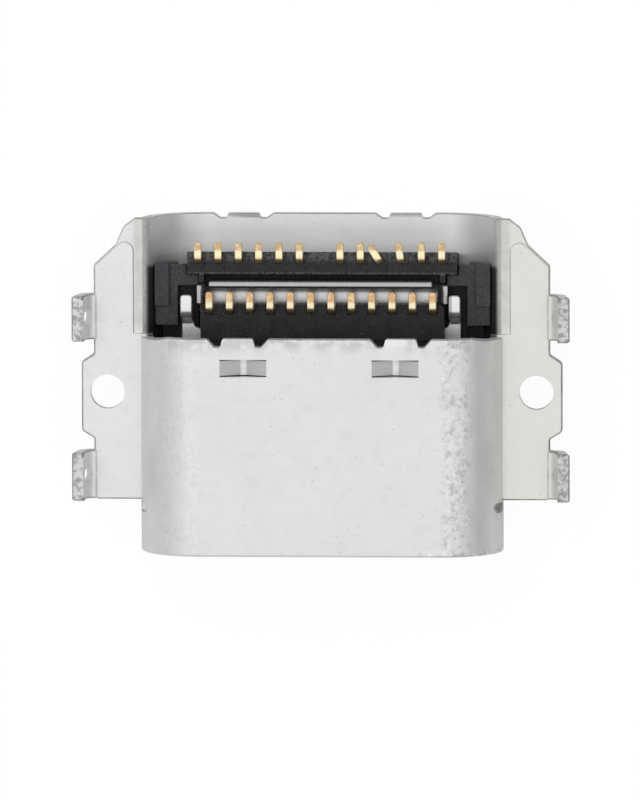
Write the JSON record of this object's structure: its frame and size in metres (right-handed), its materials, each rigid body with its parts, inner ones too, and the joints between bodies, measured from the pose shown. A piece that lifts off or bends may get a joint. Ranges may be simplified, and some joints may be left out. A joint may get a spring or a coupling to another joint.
{
  "type": "charging port connector",
  "caption": "Reversible charging socket with an oval folded steel shell, side flanges with solder legs, a contact tongue in the mouth and gull-wing solder tails at the rear.",
  "frame": {"origin": "centre of the bounding box on the outer face of the far broad wall", "axes": "+X along the mouth's long side, +Y from the mouth to the solder tails, +Z from the far broad wall towards the board side, where the legs and tails point"},
  "size_m": [0.0122, 0.0082, 0.0031],
  "materials": {
    "shell_steel": "matte nickel plating with fine pits and orange peel where the sheet is drawn",
    "inner_steel": "bright nickel plating",
    "black_plastic": "satin black moulding with fine glass specks",
    "contact_gold": "satin gold plating"
  },
  "bodies": {
    "root": {"shell": "shell_steel", "tongue_housing": "black_plastic", "front_terminal_block": "black_plastic", "rear_terminal_block": "black_plastic", "mid_plate": "inner_steel", "near_ground_collar": "inner_steel", "far_ground_collar": "inner_steel", "front_contact_01": "contact_gold", "front_contact_02": "contact_gold", "front_contact_03": "contact_gold", "front_contact_04": "contact_gold", "front_contact_05": "contact_gold", "front_contact_06": "contact_gold", "front_contact_07": "contact_gold", "front_contact_08": "contact_gold", "front_contact_09": "contact_gold", "front_contact_10": "contact_gold", "front_contact_11": "contact_gold", "front_contact_12": "contact_gold", "rear_contact_01": "contact_gold", "rear_contact_02": "contact_gold", "rear_contact_03": "contact_gold", "rear_contact_04": "contact_gold", "rear_contact_05": "contact_gold", "rear_contact_06": "contact_gold", "rear_contact_07": "contact_gold", "rear_contact_08": "contact_gold", "rear_contact_09": "contact_gold", "rear_contact_10": "contact_gold", "rear_contact_11": "contact_gold", "rear_contact_12": "contact_gold"}
  },
  "joints": []
}
